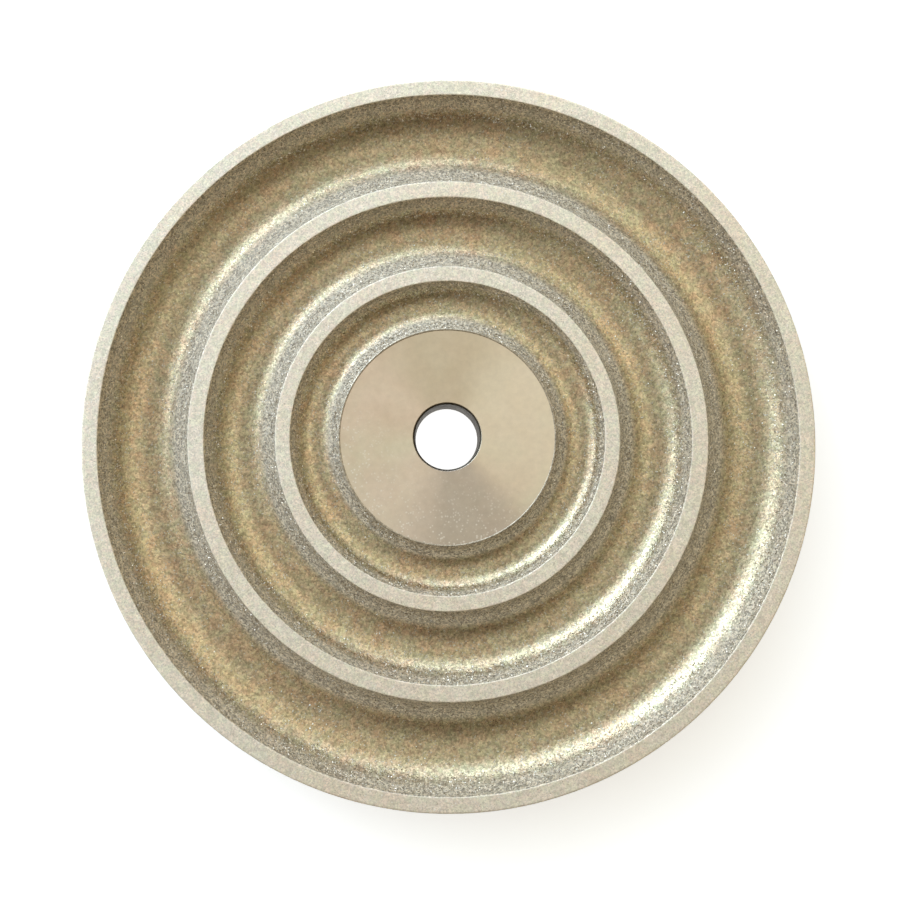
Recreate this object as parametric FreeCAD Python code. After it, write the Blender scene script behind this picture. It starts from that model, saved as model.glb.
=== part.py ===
import FreeCAD, Part
import math
import os

# Grooved diamond wheel for grinding stone beads and balls: a turned steel disc
# whose working face carries three concentric round-bottomed grooves, plated with
# nickel and, on the working zones, with nickel that holds diamond grit.
#
# Frame: millimetres. The origin is the centre of the bore on the back face, and
# +Z runs along the bore towards the grooved working face.

os.makedirs("parts", exist_ok=True)

V = FreeCAD.Vector

# ---------------------------------------------------------------- dimensions
OUTER_DIAMETER = 180.0        # over the diamond coat on the rim
THICKNESS = 18.0              # back face to diamond-coated lands
BORE_DIAMETER = 16.0

HUB_RADIUS = 26.8             # flat clamping hub, out to the lip of the first groove
INNER_GROOVE = (26.8, 38.6)   # lip radii of each groove, measured on the coat
MIDDLE_GROOVE = (42.3, 59.8)
OUTER_GROOVE = (63.8, 86.0)
GROOVE_FULLNESS = 0.97        # half width / arc radius: 1.0 is a full half-circle

COAT = 0.20                   # diamond in nickel, one grit deep
PLATE = 0.10                  # bare nickel plating
LIP_RADIUS = 0.30             # rounding of the land corners, on the coat
RIM_RADIUS = 0.50             # rounding of the outer top corner, on the coat
BACK_CHAMFER = 0.50           # outer back edge, on the plating
BORE_CHAMFER = 0.50           # both mouths of the bore
MASK_STEP = 0.30              # width of the coat margin left on the hub by the masking
RIM_MASK_HEIGHT = 10.0        # the rim is diamond coated from here up to the top corner

R_OUT = OUTER_DIAMETER / 2.0
R_BORE = BORE_DIAMETER / 2.0
CORE_TOP = THICKNESS - COAT
CORE_RIM = R_OUT - COAT
CORE_BACK = PLATE
HUB_FACE = CORE_TOP + PLATE


# ---------------------------------------------------------------- 2-D helpers
def line(a, b):
    return Part.LineSegment(V(a[0], 0, a[1]), V(b[0], 0, b[1])).toShape()


def arc(a, m, b):
    return Part.Arc(V(a[0], 0, a[1]), V(m[0], 0, m[1]), V(b[0], 0, b[1])).toShape()


def on_circle(c, r, ang):
    return (c[0] + r * math.cos(ang), c[1] + r * math.sin(ang))


def revolve(edges, name):
    wire = Part.Wire(edges)
    if not wire.isClosed():
        raise ValueError(name + ": profile is open")
    solid = Part.Face(wire).revolve(V(0, 0, 0), V(0, 0, 1), 360.0)
    if solid.ShapeType != "Solid":
        solid = Part.Solid(solid.Shells[0])
    if solid.Volume < 0:
        solid.reverse()
    if not solid.isValid():
        raise ValueError(name + ": solid is not valid")
    return solid


class Groove:
    """Round-bottomed groove between two lip radii, with its rounded lips.

    The same centres serve the core (which lies COAT deeper) and the coat, so
    the coat has one thickness all the way round the groove and over the lips.
    """

    def __init__(self, lips):
        self.ri, self.ro = lips
        half = (self.ro - self.ri) / 2.0
        self.rc = (self.ri + self.ro) / 2.0
        self.R = half / GROOVE_FULLNESS
        self.zc = THICKNESS + math.sqrt(self.R ** 2 - half ** 2)
        self.c = (self.rc, self.zc)
        dz = self.zc - (THICKNESS - LIP_RADIUS)
        dx = math.sqrt((self.R + LIP_RADIUS) ** 2 - dz ** 2)
        self.fi = (self.rc - dx, THICKNESS - LIP_RADIUS)    # inner lip centre
        self.fo = (self.rc + dx, THICKNESS - LIP_RADIUS)    # outer lip centre
        self.ang_i = math.atan2(self.fi[1] - self.zc, self.fi[0] - self.rc)
        self.ang_o = math.atan2(self.fo[1] - self.zc, self.fo[0] - self.rc)

    def floor(self, depth):
        """Start, middle and end of the groove arc, inner lip to outer lip."""
        r = self.R + depth
        return (on_circle(self.c, r, self.ang_i),
                on_circle(self.c, r, -math.pi / 2),
                on_circle(self.c, r, self.ang_o))

    def lip(self, side, depth):
        """Tangent point on the arc, corner middle and tangent point on the land."""
        r = LIP_RADIUS - depth
        if side == "inner":
            c, start = self.fi, self.ang_i + math.pi
        else:
            c, start = self.fo, self.ang_o - math.pi
            if start < -math.pi:
                start += 2 * math.pi
        # direction from the lip centre back towards the groove centre
        back = math.atan2(self.zc - c[1], self.rc - c[0])
        mid = (back + math.pi / 2) / 2.0
        q1 = (back + mid) / 2.0
        q3 = (mid + math.pi / 2) / 2.0
        return {
            "arc": on_circle(c, r, back),
            "q1": on_circle(c, r, q1),
            "mid": on_circle(c, r, mid),
            "q3": on_circle(c, r, q3),
            "land": on_circle(c, r, math.pi / 2),
        }


inner = Groove(INNER_GROOVE)
middle = Groove(MIDDLE_GROOVE)
outer = Groove(OUTER_GROOVE)

# outer top corner of the rim, one centre for the core and the coat
rim_c = (R_OUT - RIM_RADIUS, THICKNESS - RIM_RADIUS)


def rim_corner(depth):
    r = RIM_RADIUS - depth
    return {
        "land": on_circle(rim_c, r, math.pi / 2),
        "q1": on_circle(rim_c, r, math.pi * 3 / 8),
        "mid": on_circle(rim_c, r, math.pi / 4),
        "q3": on_circle(rim_c, r, math.pi / 8),
        "side": on_circle(rim_c, r, 0.0),
    }


# back outer edge: chamfer on the plating, and the core chamfer parallel to it
PLATE_RIM = CORE_RIM + PLATE
back_out = (PLATE_RIM - BACK_CHAMFER, 0.0)
side_out = (PLATE_RIM, BACK_CHAMFER)
cham = PLATE_RIM - BACK_CHAMFER - PLATE * math.sqrt(2.0)     # r - z on the core chamfer
back_in = (cham + CORE_BACK, CORE_BACK)
side_in = (CORE_RIM, CORE_RIM - cham)
mitre_out = ((back_out[0] + side_out[0]) / 2, (back_out[1] + side_out[1]) / 2)
mitre_in = ((back_in[0] + side_in[0]) / 2, (back_in[1] + side_in[1]) / 2)

# bore mouths: the chamfer is cut after plating, so it runs through the plating
top_wall = (R_BORE, HUB_FACE - BORE_CHAMFER)
top_core = (R_BORE + BORE_CHAMFER - PLATE, CORE_TOP)
top_face = (R_BORE + BORE_CHAMFER, HUB_FACE)
low_wall = (R_BORE, BORE_CHAMFER)
low_core = (R_BORE + BORE_CHAMFER - PLATE, CORE_BACK)
low_face = (R_BORE + BORE_CHAMFER, 0.0)

parts = {}

# ------------------------------------------------------------------ core disc
edges = [line(low_wall, top_wall), line(top_wall, top_core)]
here = top_core
for g in (inner, middle, outer):
    li, lo = g.lip("inner", COAT), g.lip("outer", COAT)
    a, m, b = g.floor(COAT)
    edges.append(line(here, li["land"]))
    edges.append(arc(li["land"], li["mid"], li["arc"]))
    edges.append(arc(a, m, b))
    edges.append(arc(lo["arc"], lo["mid"], lo["land"]))
    here = lo["land"]
rc = rim_corner(COAT)
edges += [line(here, rc["land"]), arc(rc["land"], rc["mid"], rc["side"]),
          line(rc["side"], side_in), line(side_in, back_in),
          line(back_in, low_core), line(low_core, low_wall)]
parts["core_disc"] = revolve(edges, "core_disc")

# ------------------------------------------------------------ bare nickel zones
# The hub plating stops where the diamond coat begins, MASK_STEP in from the lip.
first = inner.lip("inner", 0.0)
first_core = inner.lip("inner", COAT)
mask_r = first["land"][0] - MASK_STEP
mask_top = (mask_r + 0.10, THICKNESS)          # the coat margin thins to a small bevel
mask_face = (mask_r, HUB_FACE)
mask_core = (mask_r, CORE_TOP)

parts["nickel_plate_hub"] = revolve([
    line(top_core, top_face), line(top_face, mask_face),
    line(mask_face, mask_core), line(mask_core, top_core)], "nickel_plate_hub")

parts["nickel_plate_back"] = revolve([
    line(low_face, low_core), line(low_core, back_in), line(back_in, mitre_in),
    line(mitre_in, mitre_out), line(mitre_out, back_out), line(back_out, low_face)],
    "nickel_plate_back")

rim_mask_core = (CORE_RIM, RIM_MASK_HEIGHT)
rim_mask_plate = (PLATE_RIM, RIM_MASK_HEIGHT)
rim_mask_coat = (R_OUT, RIM_MASK_HEIGHT + 0.10)
parts["nickel_plate_rim"] = revolve([
    line(mitre_in, side_in), line(side_in, rim_mask_core),
    line(rim_mask_core, rim_mask_plate), line(rim_mask_plate, side_out),
    line(side_out, mitre_out), line(mitre_out, mitre_in)], "nickel_plate_rim")


# ------------------------------------------------------------ diamond coat zones
def groove_coat(g, name, masked=False):
    ti, to = g.lip("inner", 0.0), g.lip("outer", 0.0)
    bi, bo = g.lip("inner", COAT), g.lip("outer", COAT)
    ta, tm, tb = g.floor(0.0)
    ba, bm, bb = g.floor(COAT)
    e = []
    if masked:
        # runs on to the hub as far as the edge of the mask
        e += [line(mask_core, mask_face), line(mask_face, mask_top),
              line(mask_top, ti["land"]), arc(ti["land"], ti["mid"], ti["arc"])]
    else:
        e += [line(bi["mid"], ti["mid"]), arc(ti["mid"], ti["q1"], ti["arc"])]
    e += [arc(ta, tm, tb), arc(to["arc"], to["q1"], to["mid"]),
          line(to["mid"], bo["mid"]), arc(bo["mid"], bo["q1"], bo["arc"]),
          arc(bb, bm, ba)]
    if masked:
        e += [arc(bi["arc"], bi["mid"], bi["land"]), line(bi["land"], mask_core)]
    else:
        e += [arc(bi["arc"], bi["q1"], bi["mid"])]
    return revolve(e, name)


def land_coat(g_in, g_out, name):
    """Coat on the land between the outer lip of g_in and the inner lip of g_out."""
    t0, b0 = g_in.lip("outer", 0.0), g_in.lip("outer", COAT)
    t1, b1 = g_out.lip("inner", 0.0), g_out.lip("inner", COAT)
    return revolve([
        line(b0["mid"], t0["mid"]), arc(t0["mid"], t0["q3"], t0["land"]),
        line(t0["land"], t1["land"]), arc(t1["land"], t1["q3"], t1["mid"]),
        line(t1["mid"], b1["mid"]), arc(b1["mid"], b1["q3"], b1["land"]),
        line(b1["land"], b0["land"]), arc(b0["land"], b0["q3"], b0["mid"])], name)


parts["diamond_coat_inner_groove"] = groove_coat(inner, "diamond_coat_inner_groove", masked=True)
parts["diamond_coat_middle_groove"] = groove_coat(middle, "diamond_coat_middle_groove")
parts["diamond_coat_outer_groove"] = groove_coat(outer, "diamond_coat_outer_groove")
parts["diamond_coat_inner_land"] = land_coat(inner, middle, "diamond_coat_inner_land")
parts["diamond_coat_middle_land"] = land_coat(middle, outer, "diamond_coat_middle_land")

t0, b0 = outer.lip("outer", 0.0), outer.lip("outer", COAT)
t1, b1 = rim_corner(0.0), rim_corner(COAT)
parts["diamond_coat_rim_land"] = revolve([
    line(b0["mid"], t0["mid"]), arc(t0["mid"], t0["q3"], t0["land"]),
    line(t0["land"], t1["land"]), arc(t1["land"], t1["q1"], t1["mid"]),
    line(t1["mid"], b1["mid"]), arc(b1["mid"], b1["q1"], b1["land"]),
    line(b1["land"], b0["land"]), arc(b0["land"], b0["q3"], b0["mid"])],
    "diamond_coat_rim_land")

parts["diamond_coat_rim_side"] = revolve([
    line(b1["mid"], t1["mid"]), arc(t1["mid"], t1["q3"], t1["side"]),
    line(t1["side"], rim_mask_coat), line(rim_mask_coat, rim_mask_plate),
    line(rim_mask_plate, rim_mask_core), line(rim_mask_core, b1["side"]),
    arc(b1["side"], b1["q3"], b1["mid"])], "diamond_coat_rim_side")

# ---------------------------------------------------------------------- export
for name in sorted(parts):
    parts[name].exportStep("parts/" + name + ".step")
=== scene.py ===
import math

import bpy
import numpy as np
from mathutils import Matrix, Vector


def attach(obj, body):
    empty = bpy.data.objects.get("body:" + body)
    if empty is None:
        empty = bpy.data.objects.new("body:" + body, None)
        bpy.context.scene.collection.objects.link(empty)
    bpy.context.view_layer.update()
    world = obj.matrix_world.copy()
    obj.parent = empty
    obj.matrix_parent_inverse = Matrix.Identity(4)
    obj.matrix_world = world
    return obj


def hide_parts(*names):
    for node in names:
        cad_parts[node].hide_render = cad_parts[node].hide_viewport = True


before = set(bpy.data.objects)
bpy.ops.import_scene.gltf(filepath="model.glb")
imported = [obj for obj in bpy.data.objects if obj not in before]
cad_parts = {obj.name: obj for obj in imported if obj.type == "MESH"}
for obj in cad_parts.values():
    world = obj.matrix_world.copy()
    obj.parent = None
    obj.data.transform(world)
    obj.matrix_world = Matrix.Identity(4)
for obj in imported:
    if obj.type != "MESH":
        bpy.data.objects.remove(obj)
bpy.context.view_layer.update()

MM = 0.001
T = 18.0            # back face to coated lands, mm
R_OUT = 90.0
COAT = 0.20
PLATE = 0.10
LIP = 0.30
RIM_LIP = 0.50
FULL = 0.97
R_BORE = 8.0
CH = 0.50           # both mouths of the bore
HUB_Z = T - COAT + PLATE
MASK_Z = 10.0


# --------------------------------------------------------------------------
# profiles, in millimetres: the same turned outline as the CAD
# --------------------------------------------------------------------------
class Groove:
    def __init__(self, ri, ro):
        half = (ro - ri) / 2
        self.rc, self.R = (ri + ro) / 2, half / FULL
        self.zc = T + math.sqrt(self.R ** 2 - half ** 2)
        dz = self.zc - (T - LIP)
        dx = math.sqrt((self.R + LIP) ** 2 - dz ** 2)
        self.dx = dx
        self.ang = math.atan2(dx, dz)          # lip tangent, from straight down

    def arc(self, depth, n):
        """Groove arc from the inner to the outer lip, n + 1 points."""
        a = np.linspace(-self.ang, self.ang, n + 1)
        r = self.R + depth
        return np.stack([self.rc + r * np.sin(a), self.zc - r * np.cos(a)], 1)

    def lip(self, side, depth, n, frm=0.0, to=1.0):
        """Lip from the arc (0) to the land (1), or part of that way."""
        c = np.array([self.rc + side * self.dx, T - LIP])
        r = LIP - depth
        back = math.atan2(self.zc - c[1], self.rc - c[0])   # towards the arc centre
        s = np.linspace(frm, to, n + 1)
        a = back + (math.pi / 2 - back) * s
        return np.stack([c[0] + r * np.cos(a), c[1] + r * np.sin(a)], 1)


G1, G2, G3 = Groove(26.8, 38.6), Groove(42.3, 59.8), Groove(63.8, 86.0)


def rim_lip(depth, n, frm, to):
    a = math.pi / 2 * (1 - np.linspace(frm, to, n + 1))
    r = RIM_LIP - depth
    return np.stack([R_OUT - RIM_LIP + r * np.cos(a), T - RIM_LIP + r * np.sin(a)], 1)


def run(a, b, step):
    n = max(1, int(round(math.hypot(b[0] - a[0], b[1] - a[1]) / step)))
    t = np.linspace(0, 1, n + 1)[:, None]
    return np.array(a) * (1 - t) + np.array(b) * t


def chain(*runs):
    out = [runs[0][0]]
    for r in runs:
        for p in r:
            if math.hypot(p[0] - out[-1][0], p[1] - out[-1][1]) > 1e-6:
                out.append(p)
    return np.array(out)


# --------------------------------------------------------------------------
# meshes
# --------------------------------------------------------------------------
def smooth_noise(rng, nu, nv, su, sv):
    """Periodic in u. Gaussian-smoothed white noise with unit spread."""
    f = np.fft.fft2(rng.standard_normal((nu, nv)))
    ku, kv = np.fft.fftfreq(nu)[:, None], np.fft.fftfreq(nv)[None, :]
    f *= np.exp(-2 * math.pi ** 2 * ((ku * su) ** 2 + (kv * sv) ** 2))
    g = np.fft.ifft2(f).real
    return g / (g.std() + 1e-12)


def new_object(name, verts_mm, faces, smooth=True, sharp=32.0):
    me = bpy.data.meshes.new(name)
    v = np.asarray(verts_mm, np.float64) * MM
    f = np.asarray(faces, np.int32)
    k = f.shape[1]
    me.vertices.add(len(v))
    me.vertices.foreach_set("co", v.astype(np.float32).ravel())
    me.loops.add(f.size)
    me.loops.foreach_set("vertex_index", f.ravel())
    me.polygons.add(len(f))
    me.polygons.foreach_set("loop_start", np.arange(0, f.size, k, dtype=np.int32))
    me.polygons.foreach_set("use_smooth", np.full(len(f), smooth))
    me.update(calc_edges=True)
    me.validate()
    if smooth and sharp:
        me.set_sharp_from_angle(angle=math.radians(sharp))
    ob = bpy.data.objects.new(name, me)
    bpy.context.scene.collection.objects.link(ob)
    return ob


def lathe(name, skin, back, seg, noise=None, sharp=32.0):
    """Closed ring: skin is the seen outline, back closes it behind. Both run so
    that the material lies to the right of the way the outline is walked."""
    prof = np.vstack([skin, back])
    n, ns = len(prof), len(skin)
    phi = np.arange(seg) * 2 * math.pi / seg
    r = np.repeat(prof[None, :, 0], seg, 0)
    z = np.repeat(prof[None, :, 1], seg, 0)
    if noise is not None:
        t = np.gradient(skin, axis=0)
        t /= np.linalg.norm(t, axis=1, keepdims=True) + 1e-12
        nr, nz = -t[:, 1], t[:, 0]             # outward from the material
        h = noise(seg, ns)
        r[:, :ns] += h * nr
        z[:, :ns] += h * nz
    z = np.clip(z, 0.0, T)
    r = np.minimum(r, R_OUT)
    x, y = r * np.cos(phi)[:, None], r * np.sin(phi)[:, None]
    verts = np.stack([x, y, z], -1).reshape(-1, 3)
    i = np.arange(seg)[:, None]
    j = np.arange(n)[None, :]
    i2, j2 = (i + 1) % seg, (j + 1) % n
    faces = np.stack([i * n + j, i2 * n + j, i2 * n + j2, i * n + j2], -1).reshape(-1, 4)
    ob = new_object(name, verts, faces[:, ::-1], True, sharp)
    return ob


ride = lambda o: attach(o, "root")

# fine relief of the plated grit: lumps about one crystal across, and a slower swell
def grit_relief(seed, lump, swell, fade=2, only_down=False):
    def make(seg, ns):
        rng = np.random.default_rng(seed)
        h = lump * (0.75 * rng.standard_normal((seg, ns)) + 0.55 * smooth_noise(rng, seg, ns, 0.9, 0.9))
        h = np.clip(h, -2.2 * lump, 2.2 * lump) + swell * smooth_noise(rng, seg, ns, 9, 5)
        if only_down:
            h = h - 2.2 * lump - swell * 2.0
            h = np.minimum(h, 0.0)
        w = np.ones(ns)
        for k in range(fade):
            w[k] = w[-1 - k] = k / max(fade, 1)
        return h * w[None, :]
    return make


def groove_coat(name, node, g, seg, narc, seed, first=False, lump=0.011):
    """Grit coat of one groove, lip middle to lip middle."""
    core = chain(g.lip(-1, COAT, 2, 0.5, 0.0), g.arc(COAT, 16), g.lip(1, COAT, 2, 0.0, 0.5))
    if first:
        mr = g.lip(-1, 0, 1, 1, 1)[0][0] - 0.30
        skin = chain(run((mr, T - COAT), (mr, HUB_Z), 1), run((mr, HUB_Z), (mr + 0.10, T - 0.01), 1),
                     run((mr + 0.10, T - 0.01), g.lip(-1, 0, 1, 1, 1)[0], 0.2),
                     g.lip(-1, 0, 4, 1.0, 0.0), g.arc(0, narc), g.lip(1, 0, 3, 0.0, 0.5))
        core = chain(g.lip(-1, COAT, 2, 1.0, 0.0), g.arc(COAT, 16), g.lip(1, COAT, 2, 0.0, 0.5))
    else:
        skin = chain(g.lip(-1, 0, 3, 0.5, 0.0), g.arc(0, narc), g.lip(1, 0, 3, 0.0, 0.5))
    ob = lathe(name, skin, core[::-1], seg, grit_relief(seed, lump, 0.012, 4 if first else 1), sharp=None)
    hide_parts(node)
    return ride(ob)


def land_coat(name, node, ga, gb, seg, nland, seed, lump=0.008):
    a, b = ga.lip(1, 0, 3, 0.5, 1.0), gb.lip(-1, 0, 3, 1.0, 0.5)
    skin = chain(a, run(a[-1], b[0], (b[0][0] - a[-1][0]) / nland), b)
    core = chain(ga.lip(1, COAT, 2, 0.5, 1.0), gb.lip(-1, COAT, 2, 1.0, 0.5))
    ob = lathe(name, skin, core[::-1], seg, grit_relief(seed, lump, 0.004, 1, True), sharp=None)
    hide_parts(node)
    return ride(ob)


coat = {}
coat["g1"] = groove_coat("grit_coat_inner_groove", "diamond_coat_inner_groove", G1, 620, 44, 11, True)
coat["g2"] = groove_coat("grit_coat_middle_groove", "diamond_coat_middle_groove", G2, 940, 64, 12)
coat["g3"] = groove_coat("grit_coat_outer_groove", "diamond_coat_outer_groove", G3, 1010, 68, 13)
coat["l1"] = land_coat("grit_coat_inner_land", "diamond_coat_inner_land", G1, G2, 900, 12, 21)
coat["l2"] = land_coat("grit_coat_middle_land", "diamond_coat_middle_land", G2, G3, 1300, 12, 22)

a, b = G3.lip(1, 0, 3, 0.5, 1.0), rim_lip(0, 4, 0.0, 0.5)
skin = chain(a, run(a[-1], b[0], 0.3), b)
core = chain(G3.lip(1, COAT, 2, 0.5, 1.0), rim_lip(COAT, 2, 0.0, 0.5))
coat["l3"] = lathe("grit_coat_rim_land", skin, core[::-1], 1800, grit_relief(23, 0.008, 0.004, 1, True), sharp=None)
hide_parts("diamond_coat_rim_land"); ride(coat["l3"])

a = rim_lip(0, 4, 0.5, 1.0)
skin = chain(a, run(a[-1], (R_OUT, MASK_Z + 0.10), 0.42), run((R_OUT, MASK_Z + 0.10), (R_OUT - PLATE, MASK_Z), 0.07))
core = chain(rim_lip(COAT, 2, 0.5, 1.0), run(rim_lip(COAT, 2, 0.5, 1.0)[-1], (R_OUT - COAT, MASK_Z), 2.0))
coat["side"] = lathe("grit_coat_rim_side", skin, core[::-1], 1500, grit_relief(24, 0.012, 0.006, 2, True), sharp=None)
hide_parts("diamond_coat_rim_side"); ride(coat["side"])

# ------------------------------------------------------------- plating and core
mr = G1.lip(-1, 0, 1, 1, 1)[0][0] - 0.30


def hub_relief(seg, ns):
    rng = np.random.default_rng(31)
    h = 0.004 * smooth_noise(rng, seg, ns, 14, 5) + 0.002 * smooth_noise(rng, seg, ns, 3, 1.5)
    h = np.minimum(h - 0.004, 0)
    h[:, :2] = h[:, -2:] = 0
    return h


skin = chain(run((R_BORE + CH - PLATE, T - COAT), (R_BORE + CH, HUB_Z), 1), run((R_BORE + CH, HUB_Z), (mr, HUB_Z), 0.35), run((mr, HUB_Z), (mr, T - COAT), 1))
hub = lathe("nickel_hub_face", skin[:-1], skin[-1:], 360, hub_relief, sharp=30)
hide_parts("nickel_plate_hub"); ride(hub)

PR = R_OUT - PLATE
cham = PR - 0.5 - PLATE * math.sqrt(2)
bo, so = (PR - 0.5, 0.0), (PR, 0.5)
bi, si = (cham + PLATE, PLATE), (R_OUT - COAT, R_OUT - COAT - cham)
mo, mi = ((bo[0] + so[0]) / 2, (bo[1] + so[1]) / 2), ((bi[0] + si[0]) / 2, (bi[1] + si[1]) / 2)


def facing_rings(seg, ns):
    """The turned back face: very shallow feed marks and a faint overall dish."""
    rng = np.random.default_rng(41)
    line = 0.003 * np.sin(np.arange(ns) * 2.1) + 0.004 * rng.standard_normal(ns)
    h = np.repeat(line[None, :], seg, 0) + 0.003 * smooth_noise(rng, seg, ns, 30, 3)
    h = np.minimum(h - 0.008, 0)
    h[:, :2] = h[:, -3:] = 0
    return h


skin = chain(run(mi, mo, 1), run(mo, bo, 1), run(bo, (R_BORE + CH, 0.0), 0.5), run((R_BORE + CH, 0.0), (R_BORE + CH - PLATE, PLATE), 1))
back_face = lathe("nickel_back_face", skin, run((R_BORE + CH + 2, PLATE), (bi[0], bi[1]), 12), 480, facing_rings, sharp=30)
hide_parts("nickel_plate_back"); ride(back_face)

skin = chain(run((R_OUT - COAT, MASK_Z), (PR, MASK_Z), 1), run((PR, MASK_Z), so, 0.4), run(so, mo, 1), run(mo, mi, 1))
rim_plate = lathe("nickel_rim_band", skin, np.array([si]), 720, None, sharp=30)
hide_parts("nickel_plate_rim"); ride(rim_plate)

CT = T - COAT
pts = [run((R_BORE + CH - PLATE, PLATE), (R_BORE, CH), 1), run((R_BORE, CH), (R_BORE, HUB_Z - CH), 0.35),
       run((R_BORE, HUB_Z - CH), (R_BORE + CH - PLATE, CT), 1)]
for g in (G1, G2, G3):
    l0 = g.lip(-1, COAT, 2, 1.0, 0.0)
    pts += [run(pts[-1][-1], l0[0], 6), l0, g.arc(COAT, 26), g.lip(1, COAT, 2, 0.0, 1.0)]
rl = rim_lip(COAT, 3, 0.0, 1.0)
pts += [run(pts[-1][-1], rl[0], 6), rl, run(rl[-1], si, 5), run(si, bi, 1), run(bi, (R_BORE + CH - PLATE, PLATE), 12)]
core_prof = chain(*pts)[:-1]


core = lathe("steel_core", core_prof, np.zeros((0, 2)), 512, None, sharp=30)
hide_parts("core_disc"); ride(core)


# --------------------------------------------------------------------------
# grit crystals: blocky, half sunk in the nickel
# --------------------------------------------------------------------------
def crystals(name, sites, size, tall, tilt, seed):
    """sites: (position, normal, tangent) arrays in mm."""
    P, Nn, U = sites
    n = len(P)
    rng = np.random.default_rng(seed)
    W = np.cross(Nn, U)
    th = rng.uniform(0, 2 * math.pi, n)
    c, s = np.cos(th)[:, None], np.sin(th)[:, None]
    A, B = U * c + W * s, W * c - U * s
    # lean the crystal
    lean = rng.normal(0, math.tan(math.radians(tilt)), (n, 2))
    up = Nn + A * lean[:, :1] + B * lean[:, 1:]
    up /= np.linalg.norm(up, axis=1, keepdims=True)
    A = A - up * (A * up).sum(1, keepdims=True); A /= np.linalg.norm(A, axis=1, keepdims=True)
    B = np.cross(up, A)
    sz = size * np.clip(rng.normal(1, 0.22, n), 0.55, 1.6)[:, None]
    ht = tall * np.clip(rng.normal(1, 0.3, n), 0.35, 1.8)[:, None]
    low = []
    for k in range(4):
        a = k * math.pi / 2 + rng.uniform(-0.35, 0.35, n)[:, None]
        rr = sz * 0.5 * rng.uniform(0.85, 1.15, n)[:, None]
        low.append(P - up * ht * 1.1 + A * rr * np.cos(a) + B * rr * np.sin(a))
    top = []
    for k in range(4):
        a = k * math.pi / 2 + rng.uniform(-0.45, 0.45, n)[:, None]
        rr = sz * 0.5 * rng.uniform(0.45, 0.8, n)[:, None]
        top.append(P + up * ht * rng.uniform(0.92, 1.08, n)[:, None] * 0.5 + A * rr * np.cos(a) + B * rr * np.sin(a))
    V = np.stack(low + top, 1).reshape(-1, 3)
    V[:, 2] = np.minimum(V[:, 2], T)             # worn level with the lands
    rad = np.hypot(V[:, 0], V[:, 1])
    V[:, :2] *= np.minimum(1.0, R_OUT / rad)[:, None]
    quad = np.array([[0, 1, 5, 4], [1, 2, 6, 5], [2, 3, 7, 6], [3, 0, 4, 7], [4, 5, 6, 7], [3, 2, 1, 0]])
    tri = np.vstack([quad[:, [0, 1, 2]], quad[:, [0, 2, 3]]])
    F = (np.arange(n)[:, None, None] * 8 + tri[None]).reshape(-1, 3)
    ob = new_object(name, V, F, smooth=False, sharp=None)
    tint = np.repeat(rng.random(n), 8).astype(np.float32)
    at = ob.data.attributes.new("tint", "FLOAT", "POINT")
    at.data.foreach_set("value", tint)
    return ride(ob)


def groove_sites(g, count, seed, sink=0.0, lo=0.0, hi=None):
    rng = np.random.default_rng(seed)
    out_a = []
    m = 0
    hi = g.ang * 0.995 if hi is None else min(hi, g.ang * 0.995)
    while m < count:
        a = rng.uniform(lo, hi, count) * np.where(rng.random(count) < 0.5, -1, 1)
        r = g.rc + g.R * np.sin(a)
        keep = rng.random(count) < r / (g.rc + g.R)
        out_a.append(a[keep]); m += keep.sum()
    a = np.concatenate(out_a)[:count]
    ph = rng.uniform(0, 2 * math.pi, count)
    r, z = g.rc + (g.R + sink) * np.sin(a), g.zc - (g.R + sink) * np.cos(a)
    P = np.stack([r * np.cos(ph), r * np.sin(ph), z], 1)
    Nn = np.stack([-np.sin(a) * np.cos(ph), -np.sin(a) * np.sin(ph), np.cos(a)], 1)
    U = np.stack([-np.sin(ph), np.cos(ph), np.zeros(count)], 1)
    return P, Nn, U


def flat_sites(r0, r1, z, count, seed):
    rng = np.random.default_rng(seed)
    r = np.sqrt(rng.uniform(r0 ** 2, r1 ** 2, count))
    ph = rng.uniform(0, 2 * math.pi, count)
    P = np.stack([r * np.cos(ph), r * np.sin(ph), np.full(count, z)], 1)
    Nn = np.tile(np.array([0.0, 0, 1]), (count, 1))
    U = np.stack([-np.sin(ph), np.cos(ph), np.zeros(count)], 1)
    return P, Nn, U


def side_sites(z0, z1, count, seed, r=R_OUT - 0.04):
    rng = np.random.default_rng(seed)
    z = rng.uniform(z0, z1, count)
    ph = rng.uniform(0, 2 * math.pi, count)
    P = np.stack([r * np.cos(ph), r * np.sin(ph), z], 1)
    Nn = np.stack([np.cos(ph), np.sin(ph), np.zeros(count)], 1)
    U = np.stack([-np.sin(ph), np.cos(ph), np.zeros(count)], 1)
    return P, Nn, U


grit = {}
WALL, WALL_TOP = math.radians(37), math.radians(72.5)
grit["g1"] = crystals("grit_crystals_inner_groove", groove_sites(G1, 4600, 51), 0.46, 0.045, 4, 61)
grit["g2"] = crystals("grit_crystals_middle_groove", groove_sites(G2, 9800, 52), 0.46, 0.045, 4, 62)
grit["g3"] = crystals("grit_crystals_outer_groove", groove_sites(G3, 14800, 53), 0.46, 0.045, 4, 63)
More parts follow.
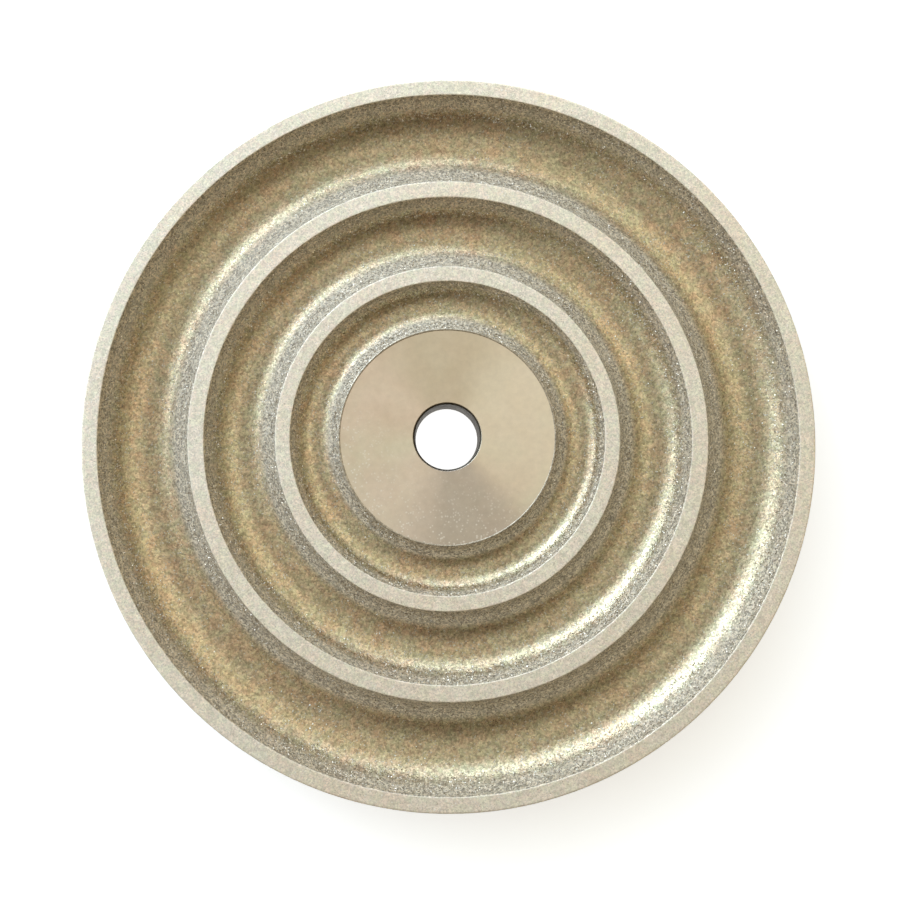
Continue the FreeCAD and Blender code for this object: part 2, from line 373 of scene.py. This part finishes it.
# the steep walls are ground least, so their crystals stand prouder and lean every way
grit["w1"] = crystals("grit_crystals_inner_groove_walls", groove_sites(G1, 4800, 71, lo=WALL, hi=WALL_TOP), 0.42, 0.15, 24, 81)
grit["w2"] = crystals("grit_crystals_middle_groove_walls", groove_sites(G2, 10500, 72, lo=WALL, hi=WALL_TOP), 0.42, 0.15, 24, 82)
grit["w3"] = crystals("grit_crystals_outer_groove_walls", groove_sites(G3, 16400, 73, lo=WALL, hi=WALL_TOP), 0.42, 0.15, 24, 83)
grit["l1"] = crystals("grit_crystals_inner_land", flat_sites(39.0, 41.9, T - 0.035, 1300, 54), 0.45, 0.04, 4, 64)
grit["l2"] = crystals("grit_crystals_middle_land", flat_sites(60.2, 63.4, T - 0.035, 2200, 55), 0.45, 0.04, 4, 65)
grit["l3"] = crystals("grit_crystals_rim_land", flat_sites(86.4, 89.4, T - 0.035, 3100, 56), 0.45, 0.04, 4, 66)
grit["side"] = crystals("grit_crystals_rim_side", side_sites(10.3, 17.4, 6500, 57), 0.48, 0.05, 6, 67)


# --------------------------------------------------------------------------
# materials
# --------------------------------------------------------------------------
class Mat:
    def __init__(self, name):
        self.m = bpy.data.materials.new(name)
        self.m.use_nodes = True
        self.nt = self.m.node_tree
        self.b = self.nt.nodes["Principled BSDF"]
        self.co = self.nt.nodes.new("ShaderNodeTexCoord").outputs["Object"]

    def n(self, kind, **kw):
        node = self.nt.nodes.new(kind)
        for k, v in kw.items():
            setattr(node, k, v)
        return node

    def link(self, a, b):
        self.nt.links.new(a, b)

    def put(self, sock, v):
        if isinstance(v, bpy.types.NodeSocket):
            self.link(v, sock)
        elif isinstance(v, (tuple, list)) and len(v) == 3 and sock.type == "RGBA":
            sock.default_value = (*v, 1)
        else:
            sock.default_value = v

    def noise(self, size_mm, detail=2.0, rough=0.5, vec=None, dim="3D", out="Fac", distortion=0.0):
        t = self.n("ShaderNodeTexNoise", noise_dimensions=dim)
        t.inputs["Scale"].default_value = 1000.0 / size_mm
        t.inputs["Detail"].default_value = detail
        t.inputs["Roughness"].default_value = rough
        t.inputs["Distortion"].default_value = distortion
        self.link(vec or self.co, t.inputs["Vector"])
        return t.outputs[out]

    def cells(self, size_mm, feature="F1", vec=None):
        t = self.n("ShaderNodeTexVoronoi", feature=feature)
        t.inputs["Scale"].default_value = 1000.0 / size_mm
        self.link(vec or self.co, t.inputs["Vector"])
        return t

    def math(self, op, a, b=0.0, c=0.0, clamp=False):
        t = self.n("ShaderNodeMath", operation=op, use_clamp=clamp)
        for i, v in enumerate((a, b, c)):
            if i < len(t.inputs):
                self.put(t.inputs[i], v)
        return t.outputs[0]

    def remap(self, v, a, b, c, d, smooth=False):
        t = self.n("ShaderNodeMapRange")
        if smooth:
            t.interpolation_type = "SMOOTHSTEP"
        self.put(t.inputs["Value"], v)
        t.inputs["From Min"].default_value, t.inputs["From Max"].default_value = a, b
        t.inputs["To Min"].default_value, t.inputs["To Max"].default_value = c, d
        return t.outputs["Result"]

    def mix(self, f, a, b, mode="MIX"):
        t = self.n("ShaderNodeMix", data_type="RGBA", blend_type=mode)
        self.put(t.inputs[0], f)
        self.put(t.inputs[6], a)
        self.put(t.inputs[7], b)
        return t.outputs[2]

    def grey(self, v):
        t = self.n("ShaderNodeCombineColor")
        for i in range(3):
            self.put(t.inputs[i], v)
        return t.outputs[0]

    def xyz(self):
        t = self.n("ShaderNodeSeparateXYZ")
        self.link(self.co, t.inputs[0])
        return t.outputs

    def bump(self, h, dist_mm, strength=1.0, normal=None):
        t = self.n("ShaderNodeBump")
        t.inputs["Strength"].default_value = strength
        t.inputs["Distance"].default_value = dist_mm * MM
        self.put(t.inputs["Height"], h)
        if normal is not None:
            self.link(normal, t.inputs["Normal"])
        return t.outputs[0]


def coat_material(name, base, warm, cool, rough, cell=0.42, bump=0.02, value=0.32, wall=None, mottle=0.20,
                  tint=((0.955, 0.995, 0.90), (1.035, 0.975, 0.925)), lip=None):
    m = Mat(name)
    v = m.cells(cell)
    sep = m.n("ShaderNodeSeparateColor")
    m.link(v.outputs["Color"], sep.inputs[0])
    rnd, rnd2 = sep.outputs[0], sep.outputs[1]
    tone = m.noise(5.0, 3, 0.6)
    broad = m.noise(24.0, 2, 0.5)
    c = m.mix(m.remap(tone, 0.35, 0.65, 0, 1, True), warm, base)
    c = m.mix(m.math("MULTIPLY", m.remap(broad, 0.4, 0.62, 0, 1, True), 0.35), c, cool)
    # clumps of a few crystals, olive in places and copper in others
    clump = m.noise(1.1, 3, 0.65)
    c = m.mix(1.0, c, m.mix(m.remap(m.noise(1.7, 2, 0.6), 0.38, 0.62, 0, 1, True), tint[0], tint[1]), "MULTIPLY")
    c = m.mix(1.0, c, m.grey(m.remap(clump, 0.32, 0.68, 1 - mottle, 1 + mottle)), "MULTIPLY")
    # crystal to crystal: some lie dark and clear, some carry bright nickel
    k = m.remap(rnd, 0, 1, 1 - value, 1 + value)
    steep = None
    if wall:
        g, margin = wall
        x, y, zz = m.xyz()
        rad = m.math("SQRT", m.math("ADD", m.math("MULTIPLY", x, x), m.math("MULTIPLY", y, y)))
        level = lambda deg: (g.zc - g.R * math.cos(math.radians(deg))) * MM
        # steep walls near the lips get a lighter, less metallic, rougher grit; the inner wall of each groove is
        # coloured lighter than the outer wall and starts lower, a painted light
        inner = m.remap(rad, (g.rc - 2) * MM, (g.rc + 2) * MM, 1, 0)
        si_ = m.math("MULTIPLY", m.remap(zz, level(20), level(38), 0, 1, True), inner)
        so_ = m.math("MULTIPLY", m.remap(zz, level(42), level(62), 0, 0.85, True), m.math("SUBTRACT", 1.0, inner))
        steep = m.math("ADD", si_, so_)
        if margin:                               # the coat's edge on the hub is thin; its dark colour here is painted shade
            hub_edge_shade = m.remap(rad, (margin - 0.10) * MM, (margin + 0.06) * MM, 1, 0)
            steep = m.math("MULTIPLY", steep, m.math("SUBTRACT", 1.0, hub_edge_shade))
            c = m.mix(hub_edge_shade, c, (0.40, 0.35, 0.27))
        c = m.mix(m.math("MULTIPLY", steep, 0.85), c, m.mix(inner, (0.71, 0.635, 0.510), (0.640, 0.577, 0.460)))
        k = m.mix(steep, m.grey(k), m.grey(m.remap(rnd, 0, 1, 0.42, 1.40)))
    fine = m.remap(m.noise(0.22, 2, 0.6), 0.3, 0.7, 1 - value * 0.6, 1 + value * 0.6)
    c = m.mix(1.0, c, k if steep is not None else m.grey(k), "MULTIPLY")
    c = m.mix(1.0, c, m.grey(fine), "MULTIPLY")
    m.link(c, m.b.inputs["Base Color"])
    rg = m.math("ADD", m.remap(rnd2, 0, 1, rough - 0.07, rough + 0.09), m.remap(broad, 0.3, 0.7, -0.02, 0.02))
    if steep is not None:
        m.link(m.math("SUBTRACT", 1.0, m.math("MULTIPLY", steep, m.math("ADD", 0.36, m.math("MULTIPLY", inner, 0.26)))), m.b.inputs["Metallic"])
        rg = m.math("ADD", rg, m.math("MULTIPLY", steep, 0.26))
    else:
        m.b.inputs["Metallic"].default_value = 1.0
    if lip:
        edge = m.remap(m.xyz()[2], (T - 0.13) * MM, (T - 0.03) * MM, 1, 0)
        rg = m.math("MAXIMUM", m.math("SUBTRACT", rg, m.math("MULTIPLY", edge, lip)), 0.22)
    m.link(rg, m.b.inputs["Roughness"])
    h = m.math("ADD", m.math("MULTIPLY", m.remap(v.outputs["Distance"], 0, 0.8, 1, 0), 0.7), m.math("MULTIPLY", m.noise(0.16, 2, 0.6), 0.6))
    m.link(m.bump(h, bump), m.b.inputs["Normal"])
    return m.m


def crystal_material(name, dark, light, rough):
    m = Mat(name)
    at = m.n("ShaderNodeAttribute", attribute_name="tint")
    t = at.outputs["Fac"]
    c = m.mix(m.remap(t, 0.0, 1.0, 0, 1), dark, light)
    c = m.mix(1.0, c, m.grey(m.remap(m.noise(0.12, 2, 0.6), 0.3, 0.7, 0.86, 1.12)), "MULTIPLY")
    m.link(c, m.b.inputs["Base Color"])
    m.b.inputs["Metallic"].default_value = 1.0
    m.link(m.remap(m.math("FRACT", m.math("MULTIPLY", t, 7.3)), 0, 1, rough - 0.08, rough + 0.1), m.b.inputs["Roughness"])
    m.link(m.bump(m.noise(0.09, 2, 0.5), 0.004), m.b.inputs["Normal"])
    return m.m


BROWN = ((0.486, 0.416, 0.286), (0.506, 0.378, 0.250), (0.452, 0.416, 0.282))
for key, g, margin in (("g1", G1, 26.8), ("g2", G2, None), ("g3", G3, None)):
    coat[key].data.materials.append(coat_material("groove_grit_" + key, *BROWN, 0.27, wall=(g, margin)))
land_mat = coat_material("land_grit", (0.800, 0.744, 0.630), (0.810, 0.722, 0.602), (0.782, 0.752, 0.660), 0.60, cell=0.34, bump=0.022,
                         value=0.14, mottle=0.07, tint=((0.98, 1.00, 0.95), (1.02, 0.985, 0.975)), lip=0.20)
side_mat = coat_material("rim_grit", (0.54, 0.495, 0.405), (0.53, 0.475, 0.38), (0.515, 0.48, 0.40), 0.42,
                         tint=((0.985, 1.0, 0.96), (1.01, 0.99, 0.98)))
for k in ("l1", "l2", "l3"):
    coat[k].data.materials.append(land_mat)
coat["side"].data.materials.append(side_mat)
gc = crystal_material("groove_crystal", (0.40, 0.36, 0.28), (0.60, 0.56, 0.46), 0.25)
wc = crystal_material("wall_crystal", (0.29, 0.255, 0.195), (0.80, 0.715, 0.58), 0.34)
lc = crystal_material("land_crystal", (0.56, 0.50, 0.39), (0.88, 0.84, 0.75), 0.48)
for k in ("g1", "g2", "g3", "side"):
    grit[k].data.materials.append(gc)
for k in ("w1", "w2", "w3"):
    grit[k].data.materials.append(wc)
for k in ("l1", "l2", "l3"):
    grit[k].data.materials.append(lc)

m = Mat("hub_nickel")
x, y, z = m.xyz()
ang = m.math("ARCTAN2", y, x)
hr = m.math("SQRT", m.math("ADD", m.math("MULTIPLY", x, x), m.math("MULTIPLY", y, y)))


def sector(centre, half, soft):
    """1 inside a sector of the hub, falling to 0 past its sides."""
    c = m.math("COSINE", m.math("SUBTRACT", ang, math.radians(centre)))
    return m.remap(c, math.cos(math.radians(half + soft)), math.cos(math.radians(max(half - soft, 1))), 0, 1, True)


cloud = m.noise(13.0, 3, 0.55, distortion=0.5)
small = m.noise(1.6, 4, 0.65)
c = m.mix(m.remap(cloud, 0.38, 0.64, 0, 1, True), (0.735, 0.610, 0.455), (0.725, 0.640, 0.470))
# painted reflection: the sectors below colour the hub lighter to the right and lower left and darker at top and
# bottom, the bow-tie highlight of a turned face
c = m.mix(m.math("MULTIPLY", sector(-82, 32, 16), 0.80), c, (0.500, 0.425, 0.345))
c = m.mix(m.math("MULTIPLY", sector(-128, 26, 14), 0.55), c, (0.765, 0.640, 0.510))
c = m.mix(m.math("MULTIPLY", sector(150, 26, 16), 0.55), c, (0.735, 0.575, 0.435))
c = m.mix(m.math("MULTIPLY", sector(86, 34, 20), 0.75), c, (0.590, 0.485, 0.340))
c = m.mix(m.math("MULTIPLY", sector(15, 42, 22), 0.60), c, (0.800, 0.700, 0.530))
c = m.mix(1.0, c, m.grey(m.remap(small, 0.3, 0.7, 0.95, 1.05)), "MULTIPLY")
# stray grains caught in the plate, thickest on the lower left half
v = m.cells(0.78)
fleck = m.remap(v.outputs["Distance"], 0.22, 0.34, 1, 0)
thick = m.math("MULTIPLY", sector(-120, 68, 26), m.remap(m.noise(3.0, 3, 0.6), 0.38, 0.56, 0, 1, True))
outer = m.remap(hr, 13 * MM, 24 * MM, 0.25, 1.0)
c = m.mix(m.math("MULTIPLY", m.math("MULTIPLY", fleck, thick), m.math("MULTIPLY", outer, 0.55)), c, (0.94, 0.89, 0.79))
m.link(c, m.b.inputs["Base Color"])
m.b.inputs["Metallic"].default_value = 1.0
m.link(m.remap(m.noise(6.0, 4, 0.6), 0.3, 0.7, 0.36, 0.50), m.b.inputs["Roughness"])
t = m.n("ShaderNodeTexNoise", noise_dimensions="1D")
t.inputs["Scale"].default_value = 2600.0
t.inputs["Detail"].default_value = 3.0
m.link(hr, t.inputs["W"])
h = m.math("ADD", m.math("MULTIPLY", m.noise(0.5, 4, 0.65), 0.6), m.math("MULTIPLY", t.outputs["Fac"], 0.5))
m.link(m.bump(h, 0.0035), m.b.inputs["Normal"])
hub.data.materials.append(m.m)

m = Mat("plated_back")
x, y, z = m.xyz()
rad = m.math("SQRT", m.math("ADD", m.math("MULTIPLY", x, x), m.math("MULTIPLY", y, y)))
t = m.n("ShaderNodeTexNoise", noise_dimensions="1D")
t.inputs["Scale"].default_value = 4500.0
t.inputs["Detail"].default_value = 3.0
m.link(rad, t.inputs["W"])
ringn = t.outputs["Fac"]
c = m.mix(m.remap(m.noise(22.0, 3, 0.6), 0.35, 0.65, 0, 1, True), (0.56, 0.502, 0.412), (0.625, 0.578, 0.488))
c = m.mix(1.0, c, m.grey(m.remap(ringn, 0.3, 0.7, 0.95, 1.05)), "MULTIPLY")
m.link(c, m.b.inputs["Base Color"])
m.b.inputs["Metallic"].default_value = 1.0
m.link(m.remap(m.noise(9.0, 3, 0.6), 0.3, 0.7, 0.30, 0.44), m.b.inputs["Roughness"])
m.link(m.bump(ringn, 0.006), m.b.inputs["Normal"])
back_face.data.materials.append(m.m)

m = Mat("plated_rim")
x, y, z = m.xyz()
t = m.n("ShaderNodeTexNoise", noise_dimensions="1D")
t.inputs["Scale"].default_value = 5200.0
t.inputs["Detail"].default_value = 3.0
m.link(z, t.inputs["W"])
c = m.mix(m.remap(m.noise(14.0, 3, 0.6), 0.35, 0.65, 0, 1, True), (0.50, 0.448, 0.365), (0.575, 0.53, 0.445))
c = m.mix(1.0, c, m.grey(m.remap(t.outputs["Fac"], 0.3, 0.7, 0.95, 1.05)), "MULTIPLY")
m.link(c, m.b.inputs["Base Color"])
m.b.inputs["Metallic"].default_value = 1.0
m.link(m.remap(m.noise(5.0, 3, 0.6), 0.3, 0.7, 0.34, 0.48), m.b.inputs["Roughness"])
m.link(m.bump(t.outputs["Fac"], 0.005), m.b.inputs["Normal"])
rim_plate.data.materials.append(m.m)

m = Mat("turned_steel_painted_shade")
x, y, z = m.xyz()
t = m.n("ShaderNodeTexNoise", noise_dimensions="1D")
t.inputs["Scale"].default_value = 6500.0
t.inputs["Detail"].default_value = 2.0
m.link(z, t.inputs["W"])
# painted shade: the steel is coloured near black so that the bore wall reads as a dark ring
c = m.mix(m.remap(m.noise(3.0, 3, 0.6), 0.3, 0.7, 0, 1, True), (0.065, 0.055, 0.040), (0.13, 0.112, 0.085))
c = m.mix(1.0, c, m.grey(m.remap(t.outputs["Fac"], 0.3, 0.7, 0.88, 1.12)), "MULTIPLY")
m.link(c, m.b.inputs["Base Color"])
m.b.inputs["Metallic"].default_value = 1.0
m.link(m.remap(m.noise(2.0, 3, 0.6), 0.3, 0.7, 0.50, 0.66), m.b.inputs["Roughness"])
m.link(m.bump(t.outputs["Fac"], 0.006), m.b.inputs["Normal"])
core.data.materials.append(m.m)

# --------------------------------------------------------------------------
# floor, light, camera
# --------------------------------------------------------------------------
S = 4.0
me = bpy.data.meshes.new("floor")
me.from_pydata([(-S, -S, 0), (S, -S, 0), (S, S, 0), (-S, S, 0)], [], [(0, 1, 2, 3)])
floor = bpy.data.objects.new("floor", me)
bpy.context.scene.collection.objects.link(floor)
fm = bpy.data.materials.new("pale_floor")
fm.use_nodes = True
fb = fm.node_tree.nodes["Principled BSDF"]
fb.inputs["Base Color"].default_value = (0.90, 0.90, 0.89, 1)
fb.inputs["Roughness"].default_value = 0.9
fb.inputs["Emission Color"].default_value = (1, 1, 1, 1)
# the floor glows a little so that it stays near white, and most under the bore,
# where no light gets in from the sides
fc = fm.node_tree.nodes.new("ShaderNodeTexCoord")
fl = fm.node_tree.nodes.new("ShaderNodeVectorMath")
fl.operation = "LENGTH"
fm.node_tree.links.new(fc.outputs["Object"], fl.inputs[0])
fr = fm.node_tree.nodes.new("ShaderNodeMapRange")
for sock, val in zip(("From Min", "From Max", "To Min", "To Max"), (0.012, 0.030, 0.95, 0.40)):
    fr.inputs[sock].default_value = val
fm.node_tree.links.new(fl.outputs["Value"], fr.inputs["Value"])
fm.node_tree.links.new(fr.outputs[0], fb.inputs["Emission Strength"])
me.materials.append(fm)

f = 1100.0
cam = bpy.data.cameras.new("camera")
co = bpy.data.objects.new("camera", cam)
bpy.context.scene.collection.objects.link(co)
cam.sensor_width = 36
cam.lens = 36 * f / 900
cam.shift_x = (450 - 423.5) / 900
cam.shift_y = -(450 - 397.1) / 900
co.matrix_world = (Matrix.Translation(Vector((-3.526, -12.384, 287.18)) * MM)
                   @ Matrix.Rotation(math.radians(0.49), 4, "Y") @ Matrix.Rotation(math.radians(4.70), 4, "X"))
cam.clip_start = 0.01
bpy.context.scene.camera = co
bpy.context.scene.view_settings.view_transform = "Standard"

# soft studio light: a dim warm room with a few broad soft sources, the strongest
# a cool window low at the upper left
ROOM = (0.215, 0.150, 0.066)
SOFT = [  # azimuth, angle from overhead, spread, colour
    (130, 93, 40, (0.540, 0.545, 0.450)),
    (133, 70, 14, (1.760, 1.970, 2.060)),
    (98, 68, 15, (0.640, 0.690, 0.720)),
    (168, 68, 15, (0.620, 0.670, 0.690)),
    (43, 45, 20, (0.290, 0.268, 0.186)),
    (335, 53, 20, (0.090, 0.078, 0.056)),
    (216, 45, 20, (0.190, 0.176, 0.140)),
    (72, 77, 20, (0.241, 0.251, 0.247)),
    (15, 19, 16, (0.230, 0.205, 0.160)),
    (215, 16, 15, (0.060, 0.055, 0.044)),
    (0, 0, 30, (0.036, 0.034, 0.029)),
    (272, 60, 30, (-0.046, -0.031, -0.0105)),   # a darker side of the room
    (140, 16, 16, (-0.030, -0.022, -0.009)),
]
COATREF = (0.50, 0.44, 0.35)
world = bpy.data.worlds.new("studio")
bpy.context.scene.world = world
world.use_nodes = True
nt = world.node_tree
bg = nt.nodes["Background"]
gen = nt.nodes.new("ShaderNodeTexCoord").outputs["Generated"]
total = None
for az, pol, spread, col in SOFT:
    a, p = math.radians(az), math.radians(pol)
    dot = nt.nodes.new("ShaderNodeVectorMath")
    dot.operation = "DOT_PRODUCT"
    dot.inputs[1].default_value = (math.cos(a) * math.sin(p), math.sin(a) * math.sin(p), math.cos(p))
    nt.links.new(gen, dot.inputs[0])
    own = math.sqrt(max(spread ** 2 - 7.5 ** 2, 36))
    gain = (spread / own) ** 2
    k = 1 / math.radians(own) ** 2
    ma = nt.nodes.new("ShaderNodeMath")
    ma.operation = "MULTIPLY_ADD"
    ma.inputs[1].default_value, ma.inputs[2].default_value = k, -k
    nt.links.new(dot.outputs["Value"], ma.inputs[0])
    ex = nt.nodes.new("ShaderNodeMath")
    ex.operation = "EXPONENT"
    nt.links.new(ma.outputs[0], ex.inputs[0])
    sc = nt.nodes.new("ShaderNodeVectorMath")
    sc.operation = "SCALE"
    sc.inputs[0].default_value = tuple(c * gain / r for c, r in zip(col, COATREF))
    nt.links.new(ex.outputs[0], sc.inputs["Scale"])
    ad = nt.nodes.new("ShaderNodeVectorMath")
    ad.operation = "ADD"
    if total is None:
        ad.inputs[1].default_value = ROOM
    else:
        nt.links.new(total, ad.inputs[1])
    nt.links.new(sc.outputs[0], ad.inputs[0])
    total = ad.outputs[0]
nt.links.new(total, bg.inputs["Color"])
